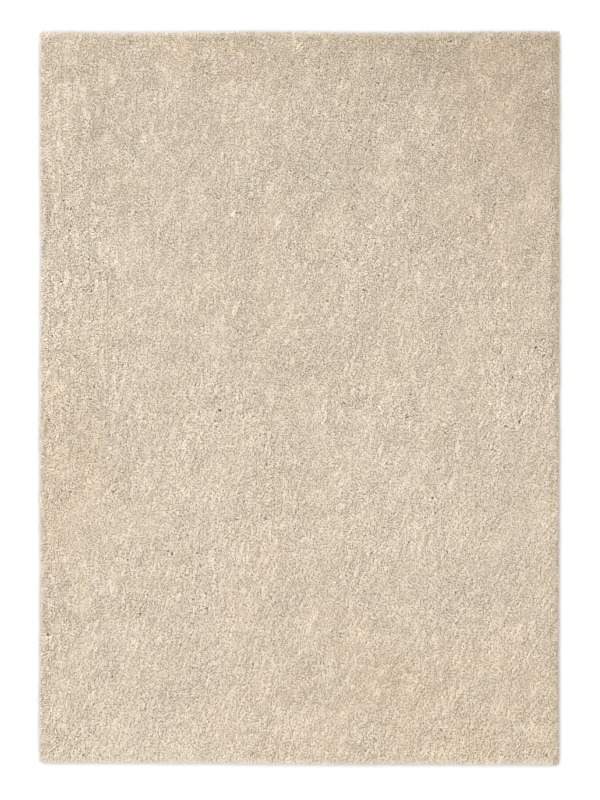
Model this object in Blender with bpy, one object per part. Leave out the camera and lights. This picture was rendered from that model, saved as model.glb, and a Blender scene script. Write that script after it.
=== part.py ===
"""A cut-pile shag rug, 1.70 x 2.40 m, lying flat on the floor.

The rug is one piece: a woven backing whose whole top is covered by long yarn. It is modelled as one
lumpy slab. A flat backing edge runs round its foot, the pile's shoulder bulges out above that edge,
and tapered locks of yarn stand out of the side all round.

Run it with: blender --background --python part.py
Units are metres. +X is the rug's width, +Y its length and +Z is up from the floor. The origin is on
the floor, at the middle of the rug.
"""

import math
import random
from collections import namedtuple

import bmesh
import bpy
from mathutils import Matrix, Vector, noise

# The woven backing, which gives the rug its nominal size.
BACKING_WIDTH = 1.700
BACKING_LENGTH = 2.400
BACKING_THICKNESS = 0.003
BACKING_CORNER_RADIUS = 0.012

# The pile. Its top is level with the mean height, and its shoulder rounds down to the side.
PILE_MEAN_HEIGHT = 0.0240
SHOULDER_HEIGHT = 0.0170
SHOULDER_WIDTH = 0.020
SHOULDER_OVERHANG = 0.001

# The surface is worked in cells of about this size, the width of one bunch of yarn ends.
BUNCH_SIZE = 0.034
BUNCH_SCATTER = 0.26
BUNCH_RISE = 0.0028

# The locks that stand out of the side, one for each cell of the rim.
LOCK_REACH = 0.0090
LOCK_REACH_SPREAD = 0.0020
LOCK_TIP_SHARE = 0.38
LOCK_TIP_SPREAD = 0.10
LOCK_TIP_HEIGHT = 0.0085
LOCK_TIP_HEIGHT_SPREAD = 0.0025
LOCK_LEAN = 0.004
LOCK_FAN_RADIUS = 0.060

# Broad lumps in the pile's top. A lump is longer along the rug than across it, and its slant is how
# far to the right, +X, it goes for each step along the rug, +Y.
Lump = namedtuple("Lump", "across along slant height layer")
LUMPS = (
    Lump(across=0.075, along=0.160, slant=0.25, height=0.0038, layer=1.5),
    Lump(across=0.170, along=0.300, slant=0.45, height=0.0022, layer=7.5),
    Lump(across=0.480, along=0.620, slant=0.10, height=0.0012, layer=13.5),
)

# How far the rug is out of square: the amount by which an edge is further out at its far end, +Y or
# +X, than at its middle, and the height of the slow wave along it.
Edge = namedtuple("Edge", "tilt wave turns start")
RIGHT_EDGE = Edge(tilt=0.0017, wave=0.0006, turns=1.3, start=0.4)
LEFT_EDGE = Edge(tilt=-0.0008, wave=0.0012, turns=2.2, start=2.0)
FAR_EDGE = Edge(tilt=-0.0005, wave=0.0014, turns=2.0, start=2.6)
NEAR_EDGE = Edge(tilt=0.0042, wave=0.0010, turns=1.6, start=1.2)

YARN_COLOUR = (0.66, 0.565, 0.43, 1.0)
YARN_ROUGHNESS = 0.95

RANDOM_SEED = 41


def clear_scene():
    """Removes everything that Blender starts with."""
    for thing in list(bpy.data.objects):
        bpy.data.objects.remove(thing)


def yarn_material():
    """Matt cream yarn."""
    material = bpy.data.materials.new("cream_yarn")
    material.use_nodes = True
    shader = material.node_tree.nodes["Principled BSDF"]
    shader.inputs["Base Color"].default_value = YARN_COLOUR
    shader.inputs["Roughness"].default_value = YARN_ROUGHNESS
    shader.inputs["Metallic"].default_value = 0.0
    material.diffuse_color = YARN_COLOUR
    return material


def turn_round_rug(point):
    """The angle at which a point is seen from the middle of the rug, for going round it in order."""
    return math.atan2(point.y, point.x)


def lump_height(x, y):
    """How far the lumps lift the pile's top at a point."""
    return sum(
        lump.height
        * noise.noise(Vector(((x - lump.slant * y) / lump.across, y / lump.along, lump.layer)))
        for lump in LUMPS
    )


def edge_offset(edge, share):
    """How far out an edge is at a share of its half length, from -1 to 1."""
    return edge.tilt * share + edge.wave * math.sin(edge.turns * math.pi * share + edge.start)


def out_of_square(point):
    """Moves a point of the square plan to where it lies on the real, slightly uneven rug."""
    across = point.x / (BACKING_WIDTH / 2)
    along = point.y / (BACKING_LENGTH / 2)
    right = edge_offset(RIGHT_EDGE, along) * (1 + across) / 2
    left = edge_offset(LEFT_EDGE, along) * (1 - across) / 2
    far = edge_offset(FAR_EDGE, across) * (1 + along) / 2
    near = edge_offset(NEAR_EDGE, across) * (1 - along) / 2
    return Vector((point.x + right - left, point.y + far - near, point.z))


def inner_corner(point, radius):
    """The nearest point of the plan shrunk by a radius, which is where a corner's arc is centred."""
    half_width = BACKING_WIDTH / 2 - radius
    half_length = BACKING_LENGTH / 2 - radius
    return Vector(
        (
            max(-half_width, min(half_width, point.x)),
            max(-half_length, min(half_length, point.y)),
            0.0,
        )
    )


def outward(point, radius):
    """The level direction out of the rug at its rim, which fans out round each corner."""
    level = Vector((point.x, point.y, 0.0))
    return (level - inner_corner(point, radius)).normalized()


def round_corners(ring, overhang):
    """Pulls a ring's corner points in onto an arc."""
    for vertex in ring:
        centre = inner_corner(vertex.co, BACKING_CORNER_RADIUS)
        level = Vector((vertex.co.x, vertex.co.y, 0.0)) - centre
        reach = BACKING_CORNER_RADIUS + overhang
        if level.length > reach:
            spot = centre + level.normalized() * reach
            vertex.co.x = spot.x
            vertex.co.y = spot.y


def make_top(mesh, dice):
    """The pile's top: a grid of bunches, scattered a little, whose heights follow the lumps."""
    half_width = BACKING_WIDTH / 2 - SHOULDER_WIDTH
    half_length = BACKING_LENGTH / 2 - SHOULDER_WIDTH
    across = round(2 * half_width / BUNCH_SIZE)
    along = round(2 * half_length / BUNCH_SIZE)
    bmesh.ops.create_grid(
        mesh,
        x_segments=across,
        y_segments=along,
        size=1.0,
        matrix=Matrix.Diagonal((half_width, half_length, 1.0, 1.0)),
    )
    for vertex in mesh.verts:
        if not vertex.is_boundary:
            vertex.co.x += BUNCH_SIZE * dice.uniform(-BUNCH_SCATTER, BUNCH_SCATTER)
            vertex.co.y += BUNCH_SIZE * dice.uniform(-BUNCH_SCATTER, BUNCH_SCATTER)
        rise = dice.uniform(-BUNCH_RISE, BUNCH_RISE)
        vertex.co.z = PILE_MEAN_HEIGHT + lump_height(vertex.co.x, vertex.co.y) + rise


def extrude_ring(mesh, edges, overhang):
    """Extrudes an open rim to the backing's plan grown by an overhang.

    Returns the new points, in order round the rug, and the new rim edges and faces.
    """
    made = bmesh.ops.extrude_edge_only(mesh, edges=edges)["geom"]
    points = [part for part in made if isinstance(part, bmesh.types.BMVert)]
    rim = [part for part in made if isinstance(part, bmesh.types.BMEdge) and part.is_boundary]
    faces = [part for part in made if isinstance(part, bmesh.types.BMFace)]
    points.sort(key=lambda point: turn_round_rug(point.co))
    reach_x = max(abs(point.co.x) for point in points)
    reach_y = max(abs(point.co.y) for point in points)
    grow = ((BACKING_WIDTH / 2 + overhang) / reach_x, (BACKING_LENGTH / 2 + overhang) / reach_y, 1.0)
    bmesh.ops.scale(mesh, vec=grow, verts=points)
    return points, rim, faces


def make_side(mesh, dice):
    """The shoulder, the side and the backing's edge, ring by ring. Returns the side's faces."""
    rim = [edge for edge in mesh.edges if edge.is_boundary]
    points, rim, _ = extrude_ring(mesh, rim, SHOULDER_OVERHANG)
    round_corners(points, SHOULDER_OVERHANG)
    for point in points:
        point.co.z = SHOULDER_HEIGHT + dice.uniform(-BUNCH_RISE, BUNCH_RISE)
    points, rim, side = extrude_ring(mesh, rim, 0.0)
    round_corners(points, 0.0)
    for point in points:
        point.co.z = BACKING_THICKNESS
    points, rim, _ = extrude_ring(mesh, rim, 0.0)
    round_corners(points, 0.0)
    for point in points:
        point.co.z = 0.0
    bmesh.ops.holes_fill(mesh, edges=rim)
    return side


def make_locks(mesh, side, dice):
    """Draws each face of the side out into a tapered, drooping lock of yarn."""
    tips = bmesh.ops.extrude_discrete_faces(mesh, faces=side)["faces"]
    tips.sort(key=lambda tip: turn_round_rug(tip.calc_center_median()))
    for tip in tips:
        root = tip.calc_center_median()
        way = outward(root, LOCK_FAN_RADIUS)
        along = Vector((-way.y, way.x, 0.0))
        reach = LOCK_REACH + dice.uniform(-LOCK_REACH_SPREAD, LOCK_REACH_SPREAD)
        lean = dice.uniform(-LOCK_LEAN, LOCK_LEAN)
        height = LOCK_TIP_HEIGHT + dice.uniform(-LOCK_TIP_HEIGHT_SPREAD, LOCK_TIP_HEIGHT_SPREAD)
        share = LOCK_TIP_SHARE + dice.uniform(-LOCK_TIP_SPREAD, LOCK_TIP_SPREAD)
        centre = root + way * reach + along * lean
        centre.z = height
        for vertex in tip.verts:
            vertex.co = centre + (vertex.co - root) * share


def centre_on_origin(mesh):
    """Moves the rug so that the middle of its outline is over the origin."""
    middle_x = (max(v.co.x for v in mesh.verts) + min(v.co.x for v in mesh.verts)) / 2
    middle_y = (max(v.co.y for v in mesh.verts) + min(v.co.y for v in mesh.verts)) / 2
    bmesh.ops.translate(mesh, vec=(-middle_x, -middle_y, 0.0), verts=mesh.verts)


def make_rug(collection):
    """The whole rug as one solid."""
    dice = random.Random(RANDOM_SEED)
    mesh = bmesh.new()
    make_top(mesh, dice)
    side = make_side(mesh, dice)
    make_locks(mesh, side, dice)
    for vertex in mesh.verts:
        vertex.co = out_of_square(vertex.co)
    centre_on_origin(mesh)
    bmesh.ops.recalc_face_normals(mesh, faces=mesh.faces)
    data = bpy.data.meshes.new("shag_pile")
    mesh.to_mesh(data)
    mesh.free()
    data.materials.append(yarn_material())
    rug = bpy.data.objects.new("shag_pile", data)
    collection.objects.link(rug)
    return rug


def main():
    clear_scene()
    collection = bpy.data.collections.new("shag_rug")
    bpy.context.scene.collection.children.link(collection)
    make_rug(collection)


main()
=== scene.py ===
# %% [markdown]
# # A cream shag rug
#
# The real rug is a woven backing, taken to be 1.70 by 2.40 m, with a great many soft yarn ends standing
# on it. From above, what the eye reads is not a surface but a crowd: short, blunt ends of yarn that lean
# over each other, with small dark pits between them. So the pile here is made of real locks of yarn,
# each with its own place, lean and tone, and not of a bump map on a slab.
#
# The measured solid of the rug is loaded first. It gives the outline and the lumps that the pile
# follows, so the pile always fits the solid.

import math
from collections import namedtuple

import bmesh
import bpy
import numpy as np
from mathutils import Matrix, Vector, noise
from mathutils.bvhtree import BVHTree


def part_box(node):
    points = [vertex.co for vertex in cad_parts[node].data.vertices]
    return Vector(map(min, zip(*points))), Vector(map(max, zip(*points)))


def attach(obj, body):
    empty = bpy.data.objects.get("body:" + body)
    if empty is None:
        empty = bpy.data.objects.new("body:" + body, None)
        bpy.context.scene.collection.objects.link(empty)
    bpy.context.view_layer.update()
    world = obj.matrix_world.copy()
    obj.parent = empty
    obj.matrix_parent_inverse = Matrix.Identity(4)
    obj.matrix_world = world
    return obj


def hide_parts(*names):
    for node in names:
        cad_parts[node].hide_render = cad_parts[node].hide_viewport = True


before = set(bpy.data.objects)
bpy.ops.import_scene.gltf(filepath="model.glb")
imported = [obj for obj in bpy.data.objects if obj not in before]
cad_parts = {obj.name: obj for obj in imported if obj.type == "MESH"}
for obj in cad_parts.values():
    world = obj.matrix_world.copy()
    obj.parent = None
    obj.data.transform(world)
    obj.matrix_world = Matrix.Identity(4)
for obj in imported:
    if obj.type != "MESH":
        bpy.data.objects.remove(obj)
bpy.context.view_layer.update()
SOLID = "shag_pile"
low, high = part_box(SOLID)
print(f"the solid is {high.x - low.x:.3f} x {high.y - low.y:.3f} m, {(high.z - low.z) * 1000:.0f} mm high")

# %% [markdown]
# ## The rug's edge, read from the solid
#
# The rug isn't quite square: its edges wave by a millimetre or two and the near one slants. The foot of
# the solid is the backing's outline. Each edge is read off as a line of points, and a plan position,
# given from -1 to 1 across and along, is placed between the edges. Everything that is planted later
# goes through this one function, so it all shares the real outline.

# %% The four edges of the backing
FOOT_HEIGHT = 0.0005
NEAR_THE_EDGE = 0.97
CORNER_CUT = 0.016

solid_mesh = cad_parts[SOLID].data
solid_points = np.array([v.co for v in solid_mesh.vertices])
foot = solid_points[solid_points[:, 2] < FOOT_HEIGHT]
half_width, half_length = np.abs(foot[:, :2]).max(axis=0)


def edge_line(axis, sign):
    """One edge as two arrays: the places along it, and how far out it lies there."""
    size = (half_width, half_length)
    on_edge = foot[:, axis] * sign > size[axis] * NEAR_THE_EDGE
    off_corner = np.abs(foot[:, 1 - axis]) < size[1 - axis] - CORNER_CUT
    points = foot[on_edge & off_corner]
    points = points[np.argsort(points[:, 1 - axis])]
    return points[:, 1 - axis], points[:, axis]


right, left = edge_line(0, 1), edge_line(0, -1)
far, near = edge_line(1, 1), edge_line(1, -1)


def on_rug(across, along):
    """Places plan positions, from -1 to 1, between the rug's real edges. Returns x and y in metres."""
    x0, y0 = across * half_width, along * half_length
    x_left, x_right = np.interp(y0, *left), np.interp(y0, *right)
    y_near, y_far = np.interp(x0, *near), np.interp(x0, *far)
    x = x_left + (x_right - x_left) * (across + 1) / 2
    y = y_near + (y_far - y_near) * (along + 1) / 2
    return x, y


print(f"the backing is {2 * half_width:.3f} x {2 * half_length:.3f} m")

# %% [markdown]
# ## How high the pile stands
#
# The solid's lumpy top says how high the pile stands at each place. A ray dropped on it from above
# reads the height. A bounding volume tree makes two hundred thousand such rays quick.

# %% The pile's height at any place
solid_tree = BVHTree.FromPolygons(
    [v.co for v in solid_mesh.vertices],
    [p.vertices for p in solid_mesh.polygons],
)
RAY_START = 0.2
DOWN = Vector((0.0, 0.0, -1.0))
SAMPLED_ACROSS = np.linspace(-0.8, 0.8, 40)
SAMPLED_ALONG = np.linspace(-1.15, 1.15, 60)


def pile_height(x, y, missing):
    """The height of the solid's top under each place, or the given one where there is no solid."""
    heights = np.empty(len(x))
    for i, (px, py) in enumerate(zip(x, y)):
        hit = solid_tree.ray_cast(Vector((px, py, RAY_START)), DOWN)[0]
        heights[i] = missing if hit is None else hit.z
    return heights


grid_x, grid_y = np.meshgrid(SAMPLED_ACROSS, SAMPLED_ALONG)
sampled = pile_height(grid_x.ravel(), grid_y.ravel(), 0.0)
mean_height = float(sampled.mean())
print(f"the pile stands {mean_height * 1000:.1f} mm high on average")
print(f"it runs from {sampled.min() * 1000:.1f} to {sampled.max() * 1000:.1f} mm")

# %% [markdown]
# ## Camera, light and floor
#
# The photograph looks straight down on the rug with a long lens, so the sides are parallel and no side
# face shows. The light is a pale studio: an even white surrounding, and one broad, soft lamp up and to
# the left. The left and far rims catch it, and the right rim is in soft shade. The floor is plain and
# nearly white.

# %% The camera
PHOTO_HEIGHT_PX = 800
METRES_PER_PX = 0.0033015
RUG_CENTRE_OFF_PX = (-0.2, 2.0)
LENS_MM = 100.0
SENSOR_MM = 36.0

scene = bpy.context.scene
camera = bpy.data.objects.new("camera", bpy.data.cameras.new("camera"))
scene.collection.objects.link(camera)
scene.camera = camera
camera.data.lens = LENS_MM
camera.data.sensor_width = SENSOR_MM
camera_height = PHOTO_HEIGHT_PX * METRES_PER_PX * LENS_MM / SENSOR_MM
camera.location = (
    -RUG_CENTRE_OFF_PX[0] * METRES_PER_PX,
    -RUG_CENTRE_OFF_PX[1] * METRES_PER_PX,
    camera_height,
)
print(f"the camera is {camera_height:.2f} m above the rug")

# %% The studio light
SURROUND_STRENGTH = 1.72
LAMP_STRENGTH = 0.90
LAMP_TURN = math.radians(125)
LAMP_TILT = math.radians(48)
LAMP_SIZE = math.radians(40)

scene.view_settings.view_transform = "Standard"
world = bpy.data.worlds.new("studio")
scene.world = world
world.use_nodes = True
world.node_tree.nodes["Background"].inputs["Color"].default_value = (1.0, 1.0, 1.0, 1.0)
world.node_tree.nodes["Background"].inputs["Strength"].default_value = SURROUND_STRENGTH

lamp = bpy.data.objects.new("lamp", bpy.data.lights.new("lamp", "SUN"))
scene.collection.objects.link(lamp)
lamp.data.energy = LAMP_STRENGTH
lamp.data.angle = LAMP_SIZE
towards_lamp = Vector(
    (
        math.sin(LAMP_TILT) * math.cos(LAMP_TURN),
        math.sin(LAMP_TILT) * math.sin(LAMP_TURN),
        math.cos(LAMP_TILT),
    )
)
lamp.rotation_mode = "QUATERNION"
lamp.rotation_quaternion = towards_lamp.to_track_quat("Z", "Y")
print("the lamp shines from", tuple(round(c, 2) for c in towards_lamp))

# %% The floor
FLOOR_SIZE = 60.0
FLOOR_COLOUR = (0.60, 0.60, 0.60, 1.0)

bm = bmesh.new()
bmesh.ops.create_grid(bm, x_segments=1, y_segments=1, size=FLOOR_SIZE / 2)
floor_mesh = bpy.data.meshes.new("floor")
bm.to_mesh(floor_mesh)
bm.free()
floor = bpy.data.objects.new("floor", floor_mesh)
scene.collection.objects.link(floor)

floor_paint = bpy.data.materials.new("floor_paint")
floor_paint.use_nodes = True
floor_shader = floor_paint.node_tree.nodes["Principled BSDF"]
floor_shader.inputs["Base Color"].default_value = FLOOR_COLOUR
floor_shader.inputs["Roughness"].default_value = 0.9
floor_mesh.materials.append(floor_paint)
print("the floor is", FLOOR_SIZE, "m wide")

# %% [markdown]
# ## Yarn
#
# The yarn is a matt cream fibre with a faint sheen, and no two lengths of it took the dye alike. Its
# colour is built up in steps, each from noise or from a number that the mesh carries at its points:
#
# - `warmth`, with slow noise, moves the dye between a warm and a cool cream;
# - `tone` is each lock's own, from deep to pale, with painted light and shade in it, and fine fibres
#   are drawn along the lock's UV map;
# - `up_lock` darkens the root with painted shade, where the neighbours keep the light out;
# - a fourth takes colour out of the tips at the rim, as painted light: the pale floor shows through the
#   thin ends.

# %% The yarn's material
YARN_WARM = (0.932, 0.838, 0.710, 1.0)
YARN_COOL = (0.905, 0.848, 0.790, 1.0)
YARN_DEEP = (0.31, 0.20, 0.05, 1.0)
LOCK_MAP = "OFBake"
TONE = "tone"
UP_LOCK = "up_lock"
PAINTED_TIP_LIGHT = "painted_tip_light"
WARMTH = "warmth"
# Painted shade: a field lock darkens towards the deep colour near its root, where the neighbours keep the
# light out.
ROOT_SHADE_TO = 0.25
ROOT_PAINTED_SHADE = 1.0
DYE_SIZE = 0.25
DYE_LOW = 0.18
DYE_HIGH = 0.82
# Painted light: the rim's tips lose colour, as if the pale floor's light showed through their thin ends.
TIP_LIGHT_SATURATION = 0.22
FIBRE_STREAKS = (900.0, 160.0, 1.0)
FIBRE_RANGE = (0.3, 0.7)
FIBRE_TONE = 0.12
FIBRE_RISE = 0.0004


def add_node(tree, kind, **inputs):
    """A new node of a material, with the sockets named set."""
    node = tree.nodes.new("ShaderNode" + kind)
    for name, value in inputs.items():
        node.inputs[name.replace("_", " ")].default_value = value
    return node


def spread(tree, value, low, high, to_low, to_high):
    """Maps a value from low-high to a new range, held inside it."""
    node = add_node(tree, "MapRange", From_Min=low, From_Max=high, To_Min=to_low, To_Max=to_high)
    tree.links.new(value, node.inputs["Value"])
    return node.outputs["Result"]


def total(tree, first, second):
    """The sum of two values."""
    node = tree.nodes.new("ShaderNodeMath")
    node.operation = "ADD"
    tree.links.new(first, node.inputs[0])
    tree.links.new(second, node.inputs[1])
    return node.outputs["Value"]


def kept_value(tree, name):
    """A number that the mesh keeps for each of its points."""
    node = tree.nodes.new("ShaderNodeAttribute")
    node.attribute_name = name
    return node.outputs["Fac"]


def colour_mix(tree, share):
    """A mix of two colours, A and B, by a share from 0 to 1."""
    node = add_node(tree, "Mix")
    node.data_type = "RGBA"
    tree.links.new(share, node.inputs["Factor"])
    return node


def yarn_material(name):
    """Cream yarn, whose tone attribute runs from deep, 0, to pale, 1."""
    material = bpy.data.materials.new(name)
    material.use_nodes = True
    tree = material.node_tree
    shader = tree.nodes["Principled BSDF"]
    shader.inputs["Roughness"].default_value = 0.85
    shader.inputs["Sheen Weight"].default_value = 0.15
    shader.inputs["Sheen Roughness"].default_value = 0.5
    shader.inputs["Specular IOR Level"].default_value = 0.2

    atlas = tree.nodes.new("ShaderNodeUVMap")
    atlas.uv_map = LOCK_MAP
    stretch = add_node(tree, "Mapping", Scale=FIBRE_STREAKS)
    tree.links.new(atlas.outputs["UV"], stretch.inputs["Vector"])
    fibre = add_node(tree, "TexNoise", Scale=1.0, Detail=1.0)
    tree.links.new(stretch.outputs["Vector"], fibre.inputs["Vector"])
    fibre_tone = spread(tree, fibre.outputs["Fac"], *FIBRE_RANGE, -FIBRE_TONE, FIBRE_TONE)

    place = tree.nodes.new("ShaderNodeTexCoord")
    dye = add_node(tree, "TexNoise", Scale=1 / DYE_SIZE, Detail=5.0, Roughness=0.8)
    tree.links.new(place.outputs["Object"], dye.inputs["Vector"])
    cool = spread(tree, dye.outputs["Fac"], DYE_LOW, DYE_HIGH, 0.0, 1.0)
    dyed = colour_mix(tree, total(tree, cool, kept_value(tree, WARMTH)))
    dyed.inputs["A"].default_value = YARN_WARM
    dyed.inputs["B"].default_value = YARN_COOL

    # Painted shade at the root of each lock.
    painted_root_shade = spread(tree, kept_value(tree, UP_LOCK), 0.0, ROOT_SHADE_TO, -ROOT_PAINTED_SHADE, 0.0)
    grained = total(tree, total(tree, kept_value(tree, TONE), painted_root_shade), fibre_tone)
    ramp = colour_mix(tree, grained)
    ramp.inputs["A"].default_value = YARN_DEEP
    tree.links.new(dyed.outputs["Result"], ramp.inputs["B"])

    # Painted light on the rim's tips: their colour is taken out.
    tip_lit = add_node(tree, "HueSaturation", Saturation=TIP_LIGHT_SATURATION)
    tree.links.new(kept_value(tree, PAINTED_TIP_LIGHT), tip_lit.inputs["Fac"])
    tree.links.new(ramp.outputs["Result"], tip_lit.inputs["Color"])
    tree.links.new(tip_lit.outputs["Color"], shader.inputs["Base Color"])

    relief = add_node(tree, "Bump", Strength=0.5, Distance=FIBRE_RISE)
    tree.links.new(fibre.outputs["Fac"], relief.inputs["Height"])
    tree.links.new(relief.outputs["Normal"], shader.inputs["Normal"])
    return material


yarn = yarn_material("cream_yarn")
print("the yarn has", len(yarn.node_tree.nodes), "nodes")

# %% [markdown]
# ## The form of one lock
#
# A lock is a tapered, 3-sided spike with a closed root and a pointed tip. Smooth shading rounds its
# three sides. In the field only the upper half of a lock shows, two pixels wide, so a spike of four
# triangles is enough. At the rim whole locks are seen from the side, so theirs have two more rings to
# bend at. Each form is made once, standing straight and 1 unit tall, by extruding a small triangle
# upward ring by ring. A point's height then says how far along the lock it is, from 0 to 1.

# %% Make a lock's form
Section = namedtuple("Section", "along width")
LOCK_SIDES = 3
FIELD_SECTIONS = (Section(along=0.0, width=1.0),)
RIM_SECTIONS = (
    Section(along=0.0, width=1.0),
    Section(along=0.38, width=0.95),
    Section(along=0.70, width=0.62),
)

LockForm = namedtuple("LockForm", "points triangles corner_uv")


def lock_mesh(sections):
    """A straight lock as a bmesh, 1 tall, with a closed root and a pointed tip."""
    bm = bmesh.new()
    root = sections[0]
    bmesh.ops.create_circle(bm, cap_ends=True, radius=root.width, segments=LOCK_SIDES)
    rim = bm.edges[:]
    width = root.width
    for section in sections[1:]:
        made = bmesh.ops.extrude_edge_only(bm, edges=rim)["geom"]
        ring = [part for part in made if isinstance(part, bmesh.types.BMVert)]
        rim = [part for part in made if isinstance(part, bmesh.types.BMEdge) and part.is_boundary]
        grow = section.width / width
        bmesh.ops.scale(bm, vec=(grow, grow, 1.0), verts=ring)
        for vertex in ring:
            vertex.co.z = section.along
        width = section.width
    made = bmesh.ops.extrude_edge_only(bm, edges=rim)["geom"]
    ring = [part for part in made if isinstance(part, bmesh.types.BMVert)]
    bmesh.ops.pointmerge(bm, verts=ring, merge_co=(0.0, 0.0, 1.0))
    bmesh.ops.triangulate(bm, faces=bm.faces[:])
    bmesh.ops.recalc_face_normals(bm, faces=bm.faces[:])
    return bm


ROOT_STRIP = 0.18
CELL_MARGIN = 0.04
CAP_MIDDLE = (0.5, 0.45)
CAP_SPREAD = (0.3, 0.4)


def corner_uv(face, vertex):
    """Where a face's corner goes in the lock's own square of the UV map, from 0 to 1 each way."""
    if all(v.co.z == 0.0 for v in face.verts):
        up = CAP_MIDDLE[1] + CAP_SPREAD[1] * vertex.co.y
        return CAP_MIDDLE[0] + CAP_SPREAD[0] * vertex.co.x, ROOT_STRIP * up
    middle = face.calc_center_median()
    middle_turn = math.atan2(middle.y, middle.x)
    turn = math.atan2(vertex.co.y, vertex.co.x) - middle_turn
    turn = (turn + math.pi) % (2 * math.pi) - math.pi
    if vertex.co.x == 0.0 and vertex.co.y == 0.0:
        turn = 0.0
    around = ((middle_turn / (2 * math.pi)) % 1.0) + turn / (2 * math.pi)
    return around, ROOT_STRIP + (1 - ROOT_STRIP) * vertex.co.z


def lock_form(sections):
    """A lock's form as arrays, ready to be repeated."""
    bm = lock_mesh(sections)
    bm.verts.index_update()
    points = np.array([v.co for v in bm.verts])
    triangles = np.array([[v.index for v in face.verts] for face in bm.faces])
    uv = np.array([corner_uv(face, v) for face in bm.faces for v in face.verts])
    bm.free()
    uv = (uv - uv.min(axis=0)) / (uv.max(axis=0) - uv.min(axis=0))
    return LockForm(points, triangles, CELL_MARGIN + uv * (1 - 2 * CELL_MARGIN))


field_form = lock_form(FIELD_SECTIONS)
rim_form = lock_form(RIM_SECTIONS)
print("a lock of the field has", len(field_form.triangles), "triangles")
print("a lock of the rim has", len(rim_form.triangles), "triangles")

# %% [markdown]
# ## Where the locks are planted
#
# Yarn is tufted in rows that run along the rug. Each row is a line of stitches, and every other row is
# moved on by half a stitch. The needle isn't exact, so each lock is moved a little from its stitch. Two
# closer lines of locks run round the edge, as they must hide the backing from the side as well.
#
# The solid shows its lumps coarsely, one step for each bunch of yarn, so the pile follows them only in
# part, and gets its own fine unevenness from the lean and length of the locks.

# %% Plant the rows
ROW_PITCH = 0.0046
STITCH_PITCH = 0.0046
STITCH_SCATTER = 0.32
FIRST_STITCH = 0.25
ROW_SHIFT = 0.5
EDGE_INSETS = (0.0005, 0.0022)
EDGE_PITCH = 0.0032
CORNER_RADIUS = 0.012
CORNER_LOCKS = 12
LUMP_SHARE = 0.10
SEED = 20

dice = np.random.default_rng(SEED)


def plant_rows():
    """The roots of all locks, as x and y arrays in metres."""
    rows = round(2 * half_width / ROW_PITCH)
    stitches = round(2 * half_length / STITCH_PITCH)
    row, stitch = np.meshgrid(np.arange(rows), np.arange(stitches), indexing="ij")
    row, stitch = row.ravel(), stitch.ravel()
    shift = FIRST_STITCH + ROW_SHIFT * (row % 2)
    across = (row + 0.5 + dice.uniform(-STITCH_SCATTER, STITCH_SCATTER, row.size)) / rows
    along = (stitch + shift + dice.uniform(-STITCH_SCATTER, STITCH_SCATTER, row.size)) / stitches
    return on_rug(np.clip(across * 2 - 1, -1, 1), np.clip(along * 2 - 1, -1, 1))


def plant_edge(inset, pitch):
    """One line of roots close inside the edge, all round the rug and round its corners."""
    straight_x = half_width - CORNER_RADIUS
    straight_y = half_length - CORNER_RADIUS
    along_x = np.linspace(-straight_x, straight_x, round(2 * straight_x / pitch))
    along_y = np.linspace(-straight_y, straight_y, round(2 * straight_y / pitch))
    x = [along_x, along_x]
    y = [np.full(len(along_x), half_length - inset), np.full(len(along_x), inset - half_length)]
    x += [np.full(len(along_y), half_width - inset), np.full(len(along_y), inset - half_width)]
    y += [along_y, along_y]
    turn = np.linspace(0, math.pi / 2, CORNER_LOCKS + 2)[1:-1]
    for side_x in (-1, 1):
        for side_y in (-1, 1):
            x.append(side_x * (straight_x + (CORNER_RADIUS - inset) * np.cos(turn)))
            y.append(side_y * (straight_y + (CORNER_RADIUS - inset) * np.sin(turn)))
    return on_rug(np.concatenate(x) / half_width, np.concatenate(y) / half_length)


row_x, row_y = plant_rows()
edge_x, edge_y = np.concatenate([plant_edge(inset, EDGE_PITCH) for inset in EDGE_INSETS], axis=1)
root_x = np.concatenate([row_x, edge_x])
root_y = np.concatenate([row_y, edge_y])
is_edge = np.arange(len(root_x)) >= len(row_x)
solid_height = pile_height(root_x, root_y, mean_height)
root_height = mean_height + LUMP_SHARE * (solid_height - mean_height)
print(len(row_x), "locks planted in rows and", len(edge_x), "along the edge")

# %% [markdown]
# ## How each lock leans
#
# A lock bends over and its tip comes to rest on its neighbours. Five things add up to its lean:
#
# - the way that the whole pile was brushed, down and to the left;
# - partings, narrow streaks along which the pile falls to one side or the other;
# - small clumps, where neighbours lean together;
# - furrows between groups of rows, about 30 mm apart;
# - chance.
#
# The partings and clumps are smooth noise, read at each root. On the real pile they don't run straight
# along the rug but slant up to the right, more so near the right edge, so the noise is read at places
# that are slanted in the same way.

# %% The lean of the field
LOCK_LENGTH = 0.008
PILE_RUN_LEFT = math.radians(66 + 180)
PILE_RUN_RIGHT = math.radians(42 + 180)
PILE_RUN_SHARE = 0.22
CLUMP_SIZE = (0.014, 0.021)
CLUMP_SHARE = 0.20
CHANCE_SHARE = 0.24
SLANT = 0.36
SLANT_RISE_RIGHT = 0.24
SLANT_RISE_NEAR = 0.17
STREAK_SIZE = (0.012, 0.045)
STREAK_SHARE = 0.38
FURROW_PITCH = 0.0303
FURROW_SHARE = 0.30
FURROW_DEPTH = 0.0012
FURROW_WANDER = 0.010
FURROW_WANDER_SIZE = (0.06, 0.10)
FURROW_MEAN = 0.5
FURROW_CHANGE = 0.6
FURROW_CHANGE_SIZE = (0.16, 0.30)

# Each pattern reads the noise in a layer of its own, so that no two patterns match.
LAYERS = {
    "clump across": 10.5,
    "clump along": 20.5,
    "furrow wander": 30.5,
    "furrow strength": 35.5,
    "bands": 40.5,
    "partings": 50.5,
    "grain": 60.5,
    "rows": 70.5,
    "pits": 80.5,
}


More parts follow.
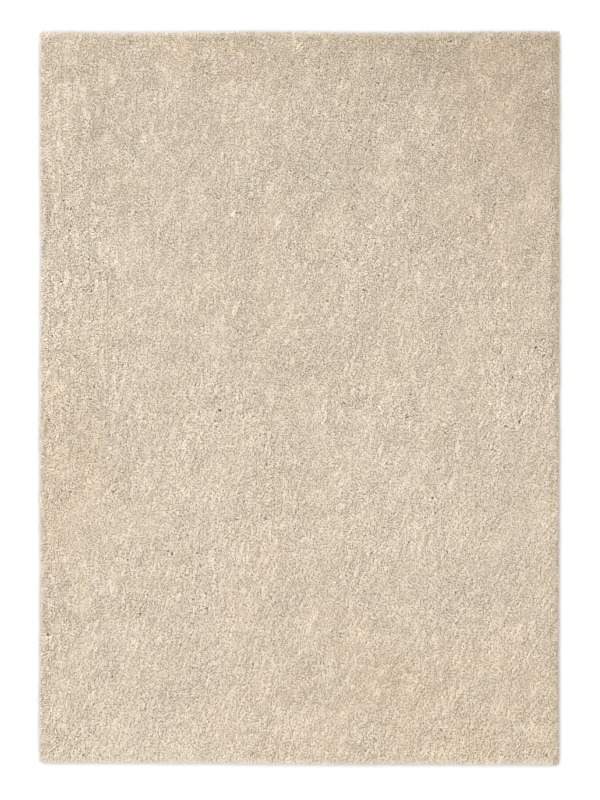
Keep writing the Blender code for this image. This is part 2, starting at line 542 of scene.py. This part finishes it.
def noise_at(x, y, size, pattern):
    """Smooth noise, about -1 to 1, at each place. Its size is how long it takes to change."""
    layer = LAYERS[pattern]
    return 2 * np.array(
        [noise.noise((px / size[0], py / size[1], layer)) for px, py in zip(x.tolist(), y.tolist())]
    )


def slanted(x, y):
    """How far each place is to the right of a line that follows the grain of the pile."""
    return x - (SLANT + SLANT_RISE_RIGHT * x - SLANT_RISE_NEAR * y / 2) * y


def pile_run(x):
    """The way that the pile was brushed, which turns a little from the left edge to the right."""
    share = (x / half_width + 1) / 2
    return PILE_RUN_LEFT + (PILE_RUN_RIGHT - PILE_RUN_LEFT) * share


def furrow_turn(x, y):
    """Where each place lies between two furrows, as an angle: 0 in a furrow and pi on a ridge."""
    wander = FURROW_WANDER * noise_at(x, y, FURROW_WANDER_SIZE, "furrow wander")
    return 2 * math.pi * (x + wander) / FURROW_PITCH


def furrow_strength(x, y):
    """How clear the furrows are at each place, from about 0 to 1."""
    change = FURROW_CHANGE * noise_at(x, y, FURROW_CHANGE_SIZE, "furrow strength")
    return (FURROW_MEAN + change).clip(0, 1)


def field_lean(x, y):
    """The level part of each lock's lean, as two arrays in metres."""
    run = pile_run(x)
    run_x, run_y = np.cos(run), np.sin(run)
    along_grain = slanted(x, y)
    parting = STREAK_SHARE * noise_at(along_grain, y, STREAK_SIZE, "partings")
    lean_x = PILE_RUN_SHARE * run_x - parting * run_y
    lean_y = PILE_RUN_SHARE * run_y + parting * run_x
    lean_x += CLUMP_SHARE * noise_at(along_grain, y, CLUMP_SIZE, "clump across")
    lean_y += CLUMP_SHARE * noise_at(along_grain, y, CLUMP_SIZE, "clump along")
    lean_x += FURROW_SHARE * strength * np.sin(furrow)
    lean_x += dice.normal(0, CHANCE_SHARE, x.size)
    lean_y += dice.normal(0, CHANCE_SHARE, x.size)
    return lean_x * LOCK_LENGTH, lean_y * LOCK_LENGTH


furrow = furrow_turn(root_x, root_y)
strength = furrow_strength(root_x, root_y)
lean_x, lean_y = field_lean(root_x, root_y)
print(f"a lock's tip lies {np.hypot(lean_x, lean_y).mean() * 1000:.1f} mm from over its root on average")

# %% [markdown]
# ## The rim
#
# At the rug's edge the locks have no neighbour outside to lean on, so they fall outward and droop
# towards the floor. The closer a lock is to the edge, the more it does so, and the less it heeds the
# brushing. At a corner they fan out. The outermost locks get the finer form.

# %% Let the outer locks fall outward
RIM_WIDTH = 0.026
RIM_REACH = 0.0090
RIM_REACH_SPREAD = 0.0010
RIM_CALM = 0.75
RIM_FROM = 0.30


def edge_distance(x, y):
    """How far each place is inside the nearest edge across, and the nearest edge along."""
    across = np.where(x > 0, np.interp(y, *right) - x, x - np.interp(y, *left))
    along = np.where(y > 0, np.interp(x, *far) - y, y - np.interp(x, *near))
    return across, along


across_gap, along_gap = edge_distance(root_x, root_y)
across_fall = np.clip(1 - across_gap / RIM_WIDTH, 0, 1)
along_fall = np.clip(1 - along_gap / RIM_WIDTH, 0, 1)
fall = np.clip(np.hypot(across_fall, along_fall), 0, 1)
out_x = np.sign(root_x) * across_fall
out_y = np.sign(root_y) * along_fall
reach = RIM_REACH + dice.normal(0, RIM_REACH_SPREAD, fall.size)
lean_x = lean_x * (1 - RIM_CALM * fall) + out_x * reach
lean_y = lean_y * (1 - RIM_CALM * fall) + out_y * reach
is_rim = fall > RIM_FROM
print(int((fall > 0).sum()), "locks are near the rim")

# %% [markdown]
# ## The centreline of each lock
#
# A lock rises from its root, bends, and ends at its tip. A quadratic Bezier curve does this with three
# points: the root, a knee above it, and the tip. The knee is where the lock would go if it stood up, so
# moving the tip sideways bends the lock without stretching its root. Here and there a few neighbours
# are shorter than the rest and leave a dark pit in the pile.
#
# At the rim the knee moves outward and down as well, so those locks droop in an arc. The two lines
# along the edge start lower and end at any height, which closes the side down to the backing.

# %% Root, knee and tip
ROOT_SHARE = 0.5
KNEE_SHARE = 1.05
KNEE_LEAN = 0.22
TIP_SPREAD = 0.0017
TIP_LIFT = 0.0006
LOWEST_TIP = 0.004
PIT_SIZE = (0.0065, 0.0065)
PIT_FROM = 0.38
PIT_DEPTH = 0.0135
RIM_TIP_DROP = 0.62
RIM_DROP_POWER = 2.2
RIM_KNEE_DROP = 0.24
RIM_KNEE_LEAN = 0.35
EDGE_ROOT_SHARE = 0.30
EDGE_TIP_LOW = 0.003
EDGE_TIP_HIGH = 0.013

root_share = np.where(is_edge, EDGE_ROOT_SHARE, ROOT_SHARE)
root = np.stack([root_x, root_y, root_height * root_share], axis=1)
knee_height = root_height * KNEE_SHARE * (1 - RIM_KNEE_DROP * fall)
knee_lean = KNEE_LEAN + RIM_KNEE_LEAN * fall
knee = np.stack([root_x + lean_x * knee_lean, root_y + lean_y * knee_lean, knee_height], axis=1)
tip_height = root_height + TIP_LIFT + dice.normal(0, TIP_SPREAD, fall.size)
tip_height -= FURROW_DEPTH * strength * np.cos(furrow)
pit = np.maximum(noise_at(root_x, root_y, PIT_SIZE, "pits") - PIT_FROM, 0)
tip_height -= PIT_DEPTH * pit
tip_height = tip_height * (1 - RIM_TIP_DROP * fall**RIM_DROP_POWER)
tip_height = np.where(is_edge, dice.uniform(EDGE_TIP_LOW, EDGE_TIP_HIGH, fall.size), tip_height)
tip = np.stack([root_x + lean_x, root_y + lean_y, np.maximum(tip_height, LOWEST_TIP)], axis=1)
print(f"tips lie from {tip[:, 2].min() * 1000:.1f} to {tip[:, 2].max() * 1000:.1f} mm above the floor")

# %% [markdown]
# ## The tone of each lock
#
# Up close each yarn end takes the dye a little differently, and a few take much more of it, which makes
# scattered dark dots. From a step away there are broader changes, because pile that lies another way
# looks darker or paler: a fine grain along the slant and along the rows, faint bands across the rug,
# a far right corner in shade and some soft paler patches. The patches are soft ovals, set to match the
# photograph's broad light and dark areas, and the warmth of the dye has such ovals too.
#
# Rim locks show their whole pale length, so they are darkened with painted shade. The outermost get the
# most, and more so on the right, the side away from the lamp; the far rim gets a little painted light.

# %% Tone the locks
LOCK_TONE = 0.813
LOCK_TONE_SPREAD = 0.02
DEEP_TONE = 0.026
DEEPEST_TONE = 0.2
PALEST_TONE = 1.2
Patch = namedtuple("Patch", "x y width length tone")
# Painted light and shade: soft ovals where the pile lies another way and looks paler or darker, and the
# far right corner in shade.
LIGHT_AND_SHADE_PATCHES = (
    Patch(x=0.80, y=1.15, width=0.42, length=0.55, tone=-0.15),
    Patch(x=-0.85, y=1.20, width=0.05, length=0.05, tone=0.12),
    Patch(x=0.10, y=1.20, width=0.60, length=0.14, tone=-0.05),
    Patch(x=0.70, y=-1.05, width=0.80, length=0.28, tone=-0.04),
    Patch(x=0.15, y=-0.95, width=0.32, length=0.26, tone=-0.035),
    Patch(x=-0.70, y=0.30, width=0.25, length=0.40, tone=0.04),
    Patch(x=-0.76, y=-0.70, width=0.14, length=0.55, tone=-0.03),
    Patch(x=-0.32, y=-0.15, width=0.14, length=0.35, tone=0.055),
    Patch(x=0.34, y=0.86, width=0.28, length=0.12, tone=0.055),
    Patch(x=0.34, y=0.36, width=0.30, length=0.12, tone=0.05),
    Patch(x=0.66, y=0.0, width=0.14, length=0.16, tone=0.05),
    Patch(x=0.33, y=-0.25, width=0.12, length=0.10, tone=0.05),
    Patch(x=0.32, y=-0.48, width=0.12, length=0.07, tone=0.05),
)
WARM_SPOTS = (
    Patch(x=-0.82, y=-0.12, width=0.22, length=0.30, tone=0.35),
    Patch(x=0.55, y=-1.05, width=0.60, length=0.35, tone=0.25),
    Patch(x=0.0, y=1.25, width=1.50, length=0.16, tone=0.25),
    Patch(x=-0.30, y=0.75, width=0.60, length=0.40, tone=-0.12),
)
BAND_TONE = 0.014
BAND_SIZE = (0.35, 0.035)
GRAIN_TONE = 0.028
GRAIN_SIZE = (0.008, 0.018)
ROW_TONE = 0.024
ROW_SIZE = (0.008, 0.020)
# Painted shade on the rim, and painted light on its far side.
RIM_PAINTED_SHADE = 0.13
SIDE_PAINTED_SHADE = 0.06
FAR_PAINTED_LIGHT = 0.03
EDGE_PAINTED_SHADE = 0.28
EDGE_SHADE_DROP = 0.42
EDGE_POWER = 6


def patch_sum(patches, x, y):
    """What soft oval patches add up to at each place."""
    amount = np.zeros(x.size)
    for patch in patches:
        away = ((x - patch.x) / patch.width) ** 2 + ((y - patch.y) / patch.length) ** 2
        amount += patch.tone * np.exp(-away)
    return amount


def lock_tone(x, y):
    """Each lock's tone, from 0, deep, to 1, pale, with painted light and shade added."""
    tone = LOCK_TONE + dice.normal(0, LOCK_TONE_SPREAD, x.size)
    tone -= dice.exponential(DEEP_TONE, x.size)
    # Painted light and shade: patches, bands, grain and rows, where pile that lies another way looks paler
    # or darker.
    tone += patch_sum(LIGHT_AND_SHADE_PATCHES, x, y)
    tone += BAND_TONE * noise_at(x, y, BAND_SIZE, "bands")
    tone += GRAIN_TONE * noise_at(slanted(x, y), y, GRAIN_SIZE, "grain")
    tone += ROW_TONE * noise_at(x, y, ROW_SIZE, "rows")
    # Painted shade on the rim, most at the outermost locks and on the right, and painted light on the far
    # rim.
    tone -= RIM_PAINTED_SHADE * is_rim + SIDE_PAINTED_SHADE * across_fall
    tone += FAR_PAINTED_LIGHT * np.maximum(out_y, 0)
    tone -= (EDGE_PAINTED_SHADE + EDGE_SHADE_DROP * np.maximum(out_x, 0)) * fall**EDGE_POWER
    return tone.clip(DEEPEST_TONE, PALEST_TONE)


# The material adds this to the share of cool dye, so a warm spot takes away from it.
warmths = -patch_sum(WARM_SPOTS, root_x, root_y)
tones = lock_tone(root_x, root_y)
print(f"tones run from {tones.min():.2f} to {tones.max():.2f}")

# %% [markdown]
# ## Grow the locks
#
# Every lock is the same form, bent along its own centreline. That is arithmetic on arrays: the form's
# heights pick points on all the curves at once, and its width goes across them. The normals point out
# from the centreline and a little up, as the soft fibres of real yarn do, so a spike looks round. The
# result is a few large joined meshes, bands across the rug, each small enough to handle.

# %% Bend the form along many centrelines
LOCK_RADIUS = 0.0038
RIM_LOCK_RADIUS = 0.0028
LOCK_RADIUS_SPREAD = 0.14
NORMAL_LIFT = 0.2
TIP_LIGHT_POWER = 4
TIP_LIGHT_RISE = 0.5
RADIUS_LIMITS = (0.6, 1.5)
SHORTEST = 1e-9
UP = np.array((0.0, 0.0, 1.0))
# Gives a lock that stands straight up a side to turn round.
NUDGE = np.array((1e-4, 0.0, 0.0))


def unit(vectors):
    """The vectors at length 1."""
    return vectors / np.maximum(np.linalg.norm(vectors, axis=-1, keepdims=True), SHORTEST)


def bend(form, root, knee, tip, radius, roll):
    """The points of every lock: one row for each lock, one column for each point of the form."""
    along = form.points[:, 2][None, :, None]
    root, knee, tip = root[:, None], knee[:, None], tip[:, None]
    centre = root * (1 - along) ** 2 + knee * 2 * along * (1 - along) + tip * along**2
    ahead = unit((knee - root) * (1 - along) + (tip - knee) * along)
    side = unit(np.cross(ahead, UP) + NUDGE)
    over = np.cross(ahead, side)
    turn_cos, turn_sin = np.cos(roll)[:, None], np.sin(roll)[:, None]
    local_x, local_y = form.points[:, 0][None], form.points[:, 1][None]
    across = (local_x * turn_cos - local_y * turn_sin) * radius[:, None]
    up = (local_x * turn_sin + local_y * turn_cos) * radius[:, None]
    outward = side * across[..., None] + over * up[..., None]
    normals = unit(outward / radius[:, None, None] + UP * NORMAL_LIFT)
    return centre + outward, normals


def lock_cells(form, count):
    """The UV of every corner: each lock has its own square cell of the map."""
    side = math.ceil(math.sqrt(count))
    cell = np.stack([np.arange(count) % side, np.arange(count) // side], axis=1)
    return (cell[:, None, :] + form.corner_uv[None]) / side


def keep_value(mesh, name, values):
    """Keeps one number for each point in a mesh, for its material to read."""
    mesh.attributes.new(name, "FLOAT", "POINT").data.foreach_set("value", values.astype(np.float32))


def joined_locks(name, form, chosen, radius):
    """One object that holds the chosen locks."""
    count = int(chosen.sum())
    radius = radius * dice.normal(1, LOCK_RADIUS_SPREAD, count).clip(*RADIUS_LIMITS)
    roll = dice.uniform(0, 2 * math.pi, count)
    points, normals = bend(form, root[chosen], knee[chosen], tip[chosen], radius, roll)
    step = len(form.points)
    triangles = form.triangles[None] + step * np.arange(count)[:, None, None]

    mesh = bpy.data.meshes.new(name)
    mesh.vertices.add(points.size // 3)
    mesh.vertices.foreach_set("co", points.astype(np.float32).ravel())
    mesh.loops.add(triangles.size)
    mesh.loops.foreach_set("vertex_index", triangles.astype(np.int32).ravel())
    mesh.polygons.add(triangles.size // 3)
    mesh.polygons.foreach_set("loop_start", np.arange(0, triangles.size, 3, dtype=np.int32))
    mesh.update(calc_edges=True)
    mesh.shade_smooth()
    mesh.normals_split_custom_set_from_vertices(normals.reshape(-1, 3))
    corners = mesh.uv_layers.new(name=LOCK_MAP).data
    corners.foreach_set("uv", lock_cells(form, count).astype(np.float32).ravel())
    keep_value(mesh, TONE, np.repeat(tones[chosen], step))
    keep_value(mesh, WARMTH, np.repeat(warmths[chosen], step))
    # A rim lock is seen whole, so it gets no painted shade at its root.
    up_lock = form.points[:, 2] if form is field_form else np.ones(step)
    keep_value(mesh, UP_LOCK, np.tile(up_lock, count))
    # Painted light, strongest at the outermost locks and towards their tips.
    painted_tip_light = np.outer(fall[chosen] ** TIP_LIGHT_POWER, form.points[:, 2] ** TIP_LIGHT_RISE)
    keep_value(mesh, PAINTED_TIP_LIGHT, painted_tip_light.ravel())
    mesh.materials.append(yarn)
    locks = bpy.data.objects.new(name, mesh)
    scene.collection.objects.link(locks)
    return locks


# %% [markdown]
# The rim is one mesh all round the rug. The rest of the pile is cut into bands across it.

# %% Grow the rim and the bands
BAND_COUNT = 5

pile = [joined_locks("pile_rim", rim_form, is_rim, RIM_LOCK_RADIUS)]
band = ((root_y / half_length + 1) / 2 * BAND_COUNT).astype(int).clip(0, BAND_COUNT - 1)
for number in range(BAND_COUNT):
    in_band = (band == number) & ~is_rim
    pile.append(joined_locks(f"pile_band_{number + 1}", field_form, in_band, LOCK_RADIUS))
for locks in pile:
    print(locks.name, len(locks.data.polygons), "triangles")
print("in all", sum(len(locks.data.polygons) for locks in pile), "triangles")

# %% [markdown]
# ## The ground of the rug
#
# Under the tips, the locks stand so close that the lower pile is a solid mat on the backing. The ground
# is that mat and the backing in one: a closed sheet with the rug's outline, flat below and following
# the pile's lumps above. It starts as a grid, and its open rim is extruded down and filled. All that
# can ever be seen of it is its edge and its underside, so it is dressed as the backing's plain weave,
# in thread darkened with painted shade, as the edge lies in shade under the drooping rim.

# %% Make the ground
GROUND_CELL = 0.024
GROUND_SHARE = 0.5
GROUND_INSET = 0.0020
BACKING_THICKNESS = 0.003
# Painted shade: both threads are darkened, for the shaded edge under the rim.
SHADED_THREAD_DEEP = (0.36, 0.30, 0.21, 1.0)
SHADED_THREAD_PALE = (0.60, 0.52, 0.40, 1.0)
WEAVE_SCALE = 110.0
WEAVE_RISE = 0.0006


def order_faces(bm):
    """Lists the faces by their points. Extruding lists the same faces in another order each run."""
    bm.verts.index_update()
    by_points = sorted(bm.faces, key=lambda face: sorted(vertex.index for vertex in face.verts))
    for number, face in enumerate(by_points):
        face.index = number
    bm.faces.sort()


def make_ground():
    """The lower pile and backing as one closed sheet."""
    bm = bmesh.new()
    across = round(2 * half_width / GROUND_CELL)
    along = round(2 * half_length / GROUND_CELL)
    bmesh.ops.create_grid(bm, x_segments=across, y_segments=along, size=1.0)
    plan = np.array([v.co[:2] for v in bm.verts])
    x, y = on_rug(plan[:, 0], plan[:, 1])
    x *= 1 - GROUND_INSET / half_width
    y *= 1 - GROUND_INSET / half_length
    height = pile_height(x, y, mean_height) * GROUND_SHARE
    for vertex, px, py, pz in zip(bm.verts, x, y, height):
        vertex.co = (px, py, pz)
    rim = [edge for edge in bm.edges if edge.is_boundary]
    for z in (BACKING_THICKNESS, 0.0):
        made = bmesh.ops.extrude_edge_only(bm, edges=rim)["geom"]
        rim = [part for part in made if isinstance(part, bmesh.types.BMEdge) and part.is_boundary]
        for part in made:
            if isinstance(part, bmesh.types.BMVert):
                part.co.z = z
    bmesh.ops.holes_fill(bm, edges=rim)
    bmesh.ops.recalc_face_normals(bm, faces=bm.faces[:])
    order_faces(bm)
    mesh = bpy.data.meshes.new("ground")
    bm.to_mesh(mesh)
    bm.free()
    ground = bpy.data.objects.new("ground", mesh)
    scene.collection.objects.link(ground)
    return ground


def backing_material(name):
    """A plain weave of undyed thread, darkened with painted shade: two sets of fine ribs that cross."""
    material = bpy.data.materials.new(name)
    material.use_nodes = True
    tree = material.node_tree
    shader = tree.nodes["Principled BSDF"]
    shader.inputs["Roughness"].default_value = 0.9
    place = tree.nodes.new("ShaderNodeTexCoord")
    ribs = []
    for direction in ("X", "Y"):
        rib = add_node(tree, "TexWave", Scale=WEAVE_SCALE, Distortion=1.0, Detail=2.0)
        rib.bands_direction = direction
        tree.links.new(place.outputs["Object"], rib.inputs["Vector"])
        ribs.append(rib.outputs["Fac"])
    weave = add_node(tree, "Math")
    weave.operation = "MULTIPLY"
    for rib, socket in zip(ribs, weave.inputs):
        tree.links.new(rib, socket)
    colour = colour_mix(tree, weave.outputs["Value"])
    colour.inputs["A"].default_value = SHADED_THREAD_DEEP
    colour.inputs["B"].default_value = SHADED_THREAD_PALE
    tree.links.new(colour.outputs["Result"], shader.inputs["Base Color"])
    relief = add_node(tree, "Bump", Strength=0.6, Distance=WEAVE_RISE)
    tree.links.new(weave.outputs["Value"], relief.inputs["Height"])
    tree.links.new(relief.outputs["Normal"], shader.inputs["Normal"])
    return material


ground = make_ground()
ground.data.materials.append(backing_material("shaded_woven_backing"))
print("the ground has", len(ground.data.polygons), "faces")

# %% [markdown]
# ## Attach the pieces
#
# Every piece moves with the rug's one body. Together they take the plain solid's place.

for piece in [ground, *pile]:
    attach(piece, "root")
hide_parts(SOLID)
